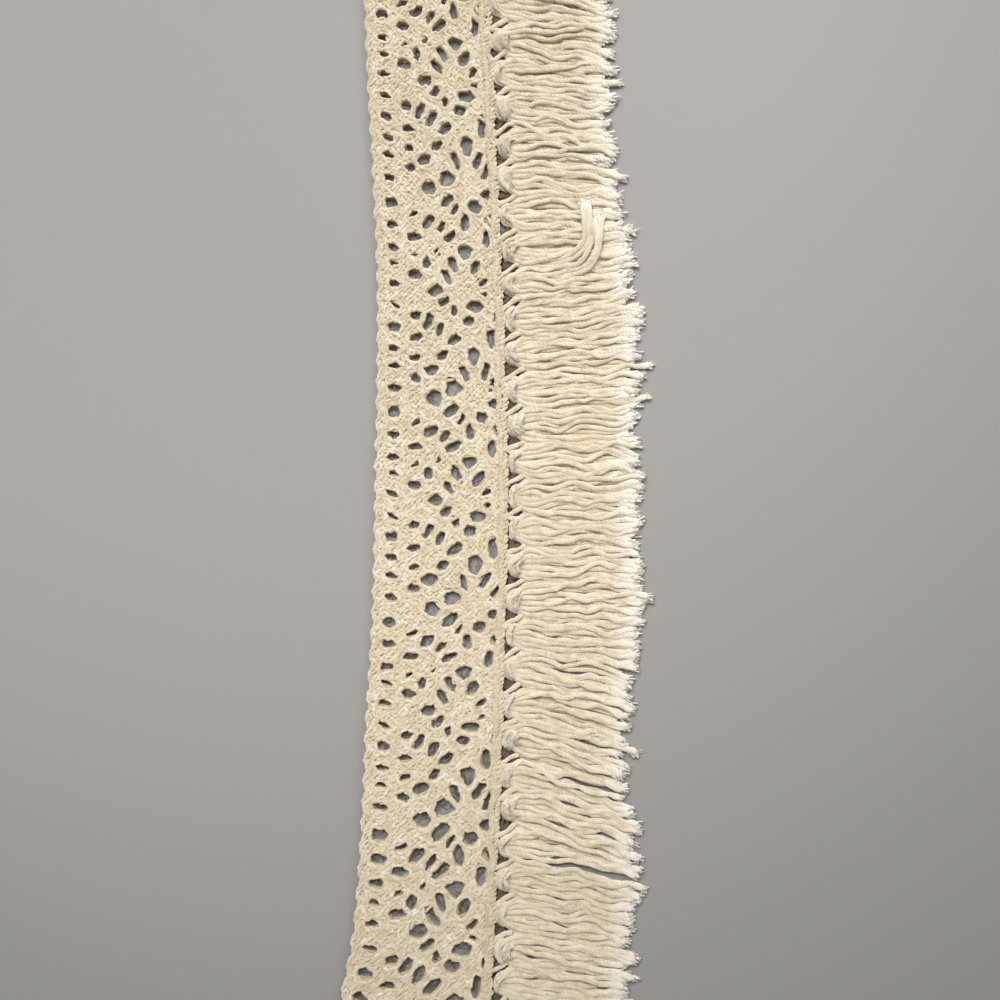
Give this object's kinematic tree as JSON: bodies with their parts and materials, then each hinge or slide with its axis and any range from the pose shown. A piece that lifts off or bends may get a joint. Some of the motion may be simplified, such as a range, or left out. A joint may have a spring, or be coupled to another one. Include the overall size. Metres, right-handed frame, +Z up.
{
  "type": "fringed lace trim",
  "caption": "Flat length of ecru cotton bobbin lace edging, with a looped edge on one side and a knotted yarn fringe on the other, for sewing to a hem.",
  "frame": {"origin": "on the surface the strip lies on, under the plait that joins lace and fringe, half way along the strip", "axes": "+X across the strip from the looped edge to the fringe's tips, +Y along the strip, +Z up from the surface"},
  "size_m": [0.0847, 0.292, 0.0034],
  "materials": {
    "lace_cotton": "matte ecru cotton thread",
    "fringe_cotton": "matte ecru cotton yarn"
  },
  "bodies": {
    "root": {"lace_band": "lace_cotton", "fringe": "fringe_cotton"}
  },
  "joints": []
}
